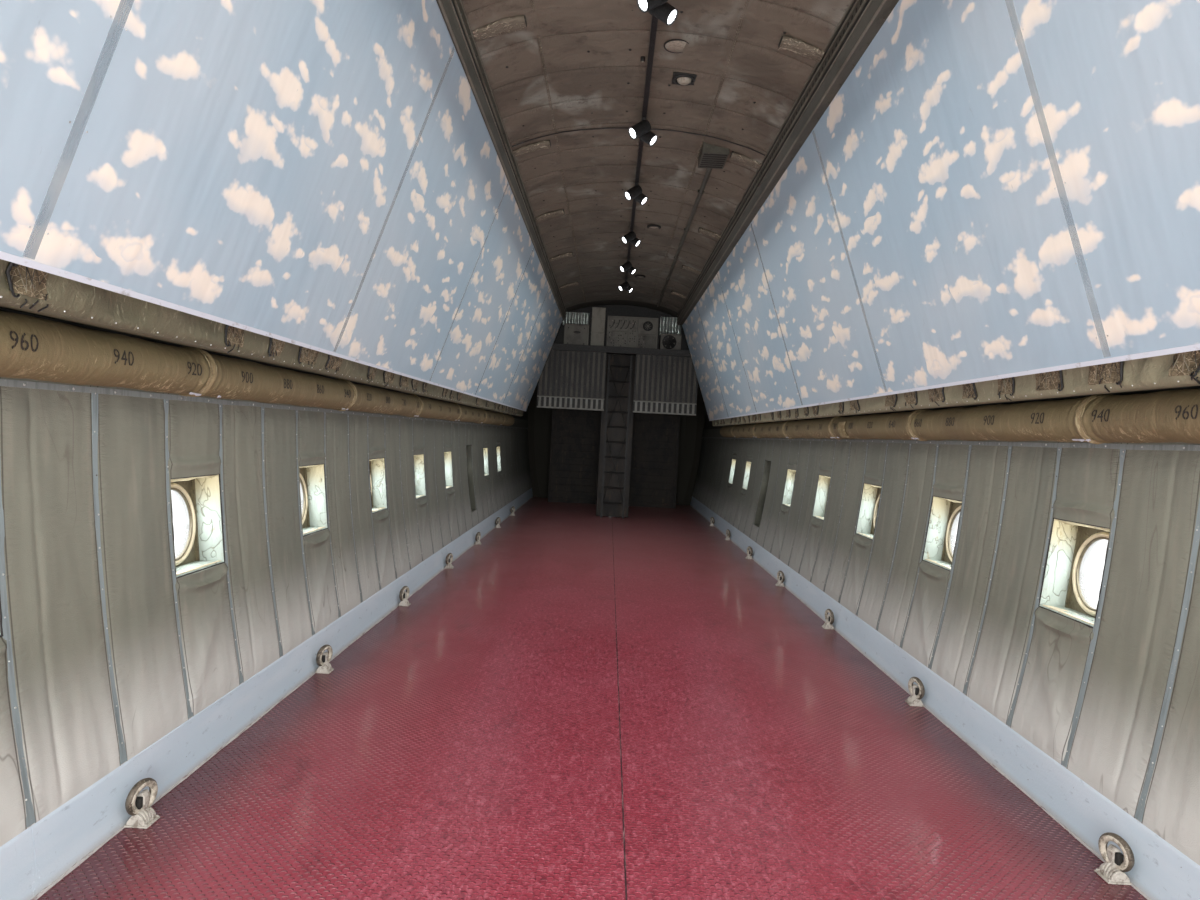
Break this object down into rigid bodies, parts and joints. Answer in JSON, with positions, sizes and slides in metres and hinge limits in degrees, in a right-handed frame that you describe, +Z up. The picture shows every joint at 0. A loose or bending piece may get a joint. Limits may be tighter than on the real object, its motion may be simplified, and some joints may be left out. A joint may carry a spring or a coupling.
{
  "type": "cargo hold section of a military transport plane",
  "caption": "Straight cargo hold section with quilted walls, round windows, ducts, sloping sky panels, lined ceiling, escape hatches and hinged nose doors.",
  "frame": {"origin": "on the aft face of the aft frame, at the centre plane, 100 mm below the floor's top surface", "axes": "+Y forward along the hold, +X right, +Z up"},
  "size_m": [4.7, 21.9589, 5.3643],
  "materials": {
    "skin": "weathered aluminium sheet, satin",
    "structure": "green primer, satin",
    "floor_sheet": "glossy crimson sheet with raised studs",
    "sill": "pale blue-grey paint, satin",
    "lining": "taupe quilted lining cloth",
    "duct": "khaki wrapped cloth, wrinkled",
    "insulation": "olive-grey insulation cloth",
    "sky_panel": "sky blue sheet with pale clouds",
    "rail": "dark olive-grey paint",
    "ceiling": "dusty brown-grey quilted cloth",
    "dark_metal": "black paint",
    "equipment": "worn grey paint",
    "foil": "pleated silvery cloth",
    "ramp": "dark worn tread",
    "hatch": "olive-grey paint",
    "window_glass": "clear pane"
  },
  "bodies": {
    "hold": {"aft_frame": "structure", "front_frame": "structure", "floor_structure": "structure", "floor_sheet_right": "floor_sheet", "floor_sheet_left": "floor_sheet", "floor_surround": "floor_sheet", "side_wall_right": "skin", "side_wall_left": "skin", "upper_wall_right": "skin", "upper_wall_left": "skin", "roof": "skin", "belly_skin": "skin", "wall_lining_right": "lining", "wall_lining_left": "lining", "sill_right": "sill", "sill_left": "sill", "air_duct_right": "duct", "air_duct_left": "duct", "sky_panel_right": "sky_panel", "sky_panel_left": "sky_panel", "panel_rail_right": "rail", "panel_rail_left": "rail", "insulation_ledge_right": "insulation", "insulation_ledge_left": "insulation", "ceiling_lining": "ceiling", "ceiling_pipe": "rail", "light_track": "dark_metal", "flight_deck_floor": "dark_metal", "flight_deck_bulkhead": "equipment", "equipment_cabinet": "equipment", "equipment_trunk": "equipment", "equipment_rack": "equipment", "fan_box": "equipment", "pleated_curtain_left": "foil", "pleated_curtain_right": "foil", "header_panel_left": "equipment", "header_panel_right": "equipment", "nose_ramp_right": "ramp", "nose_ramp_left": "ramp", "nose_ladder": "dark_metal"},
    "hatch_right": {"escape_hatch_right": "hatch"},
    "hatch_left": {"escape_hatch_left": "hatch"},
    "door_right": {"nose_door_right": "skin"},
    "door_left": {"nose_door_left": "skin"}
  },
  "joints": [
    {"name": "hatch_right_hinge", "type": "hinge", "parent": "hold", "child": "hatch_right", "pos_m": [2.287, 13.185, 0.9912], "axis": [0.1256, 0, 0.9921], "range_deg": [0, 100]},
    {"name": "hatch_left_hinge", "type": "hinge", "parent": "hold", "child": "hatch_left", "pos_m": [-2.287, 13.185, 0.9912], "axis": [0.1256, 0, -0.9921], "range_deg": [0, 100]},
    {"name": "nose_door_right_hinge", "type": "hinge", "parent": "hold", "child": "door_right", "pos_m": [2.365, 21.344, 1.8], "axis": [0, 0, -1], "range_deg": [0, 110]},
    {"name": "nose_door_left_hinge", "type": "hinge", "parent": "hold", "child": "door_left", "pos_m": [-2.365, 21.344, 1.8], "axis": [0, 0, 1], "range_deg": [0, 110]}
  ]
}
